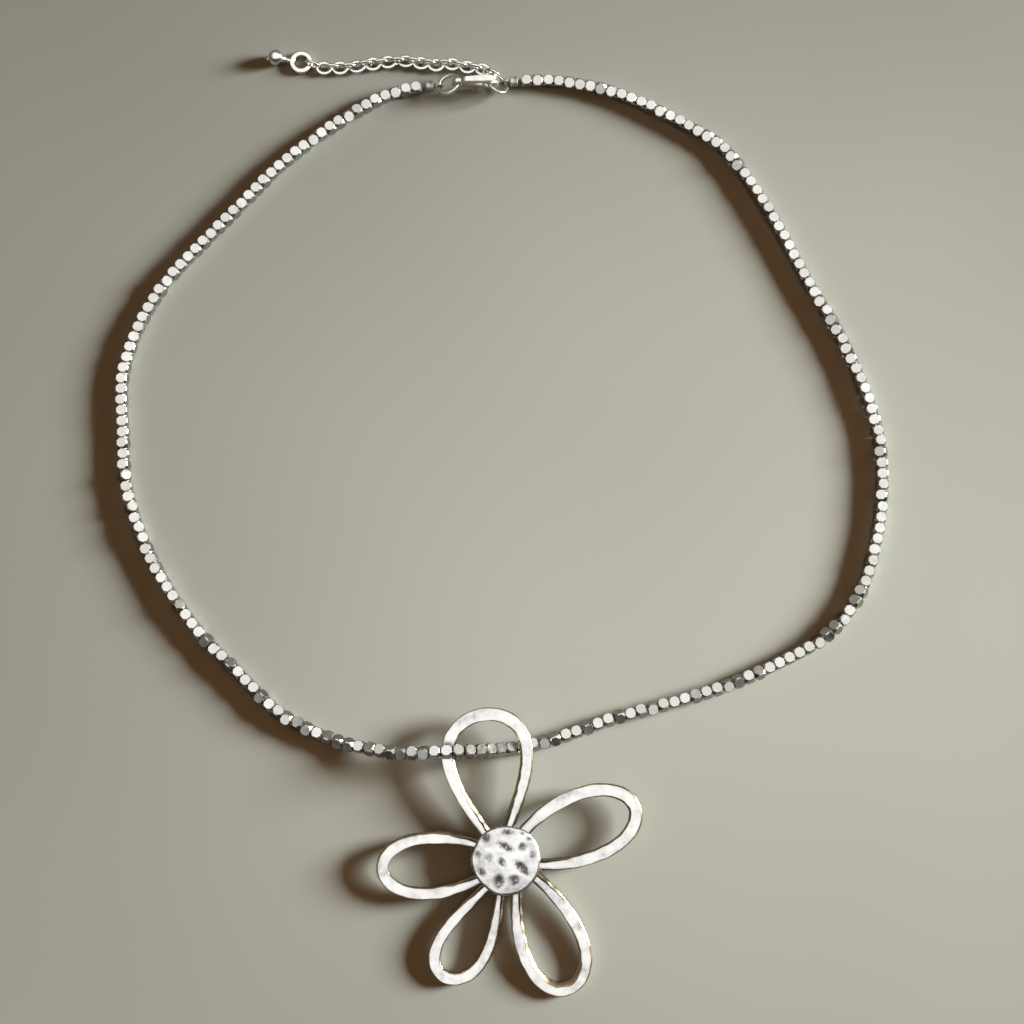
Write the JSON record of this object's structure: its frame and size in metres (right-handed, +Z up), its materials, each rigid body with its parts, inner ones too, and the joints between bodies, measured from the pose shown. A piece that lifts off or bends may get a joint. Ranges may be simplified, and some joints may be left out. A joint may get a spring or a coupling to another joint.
{
  "type": "beaded flower pendant necklace",
  "caption": "Short necklace of small faceted metal beads with an open wire flower pendant, a hammered round centre, a lobster clasp, and an extender chain that ends in a ring and ball.",
  "frame": {"origin": "on the surface that the necklace lies on, below the middle of the whole piece", "axes": "+X to the right of the picture, +Y from the pendant towards the clasp, +Z up off the surface"},
  "size_m": [0.143, 0.1756, 0.007],
  "materials": {
    "bead_metal": "polished facets, dark in the gaps",
    "pendant_metal": "antiqued silver, hammered",
    "crimp_metal": "dull",
    "fitting_metal": "polished"
  },
  "bodies": {
    "necklace": {"bead_strand": "bead_metal", "flower_pendant": "pendant_metal", "left_crimp": "crimp_metal", "right_crimp": "crimp_metal", "left_ring": "fitting_metal", "right_ring": "fitting_metal", "clasp_body": "fitting_metal", "extender_chain": "fitting_metal", "end_drop": "fitting_metal"},
    "lever": {"clasp_lever": "fitting_metal"}
  },
  "joints": [
    {"name": "lever_hinge", "type": "hinge", "parent": "necklace", "child": "lever", "pos_m": [-0.0058, 0.0803, 0.0023], "axis": [0, -1, 0], "range_deg": [0, 14], "stiffness_Nm_per_rad": 0.002, "springref_deg": -11.46}
  ]
}
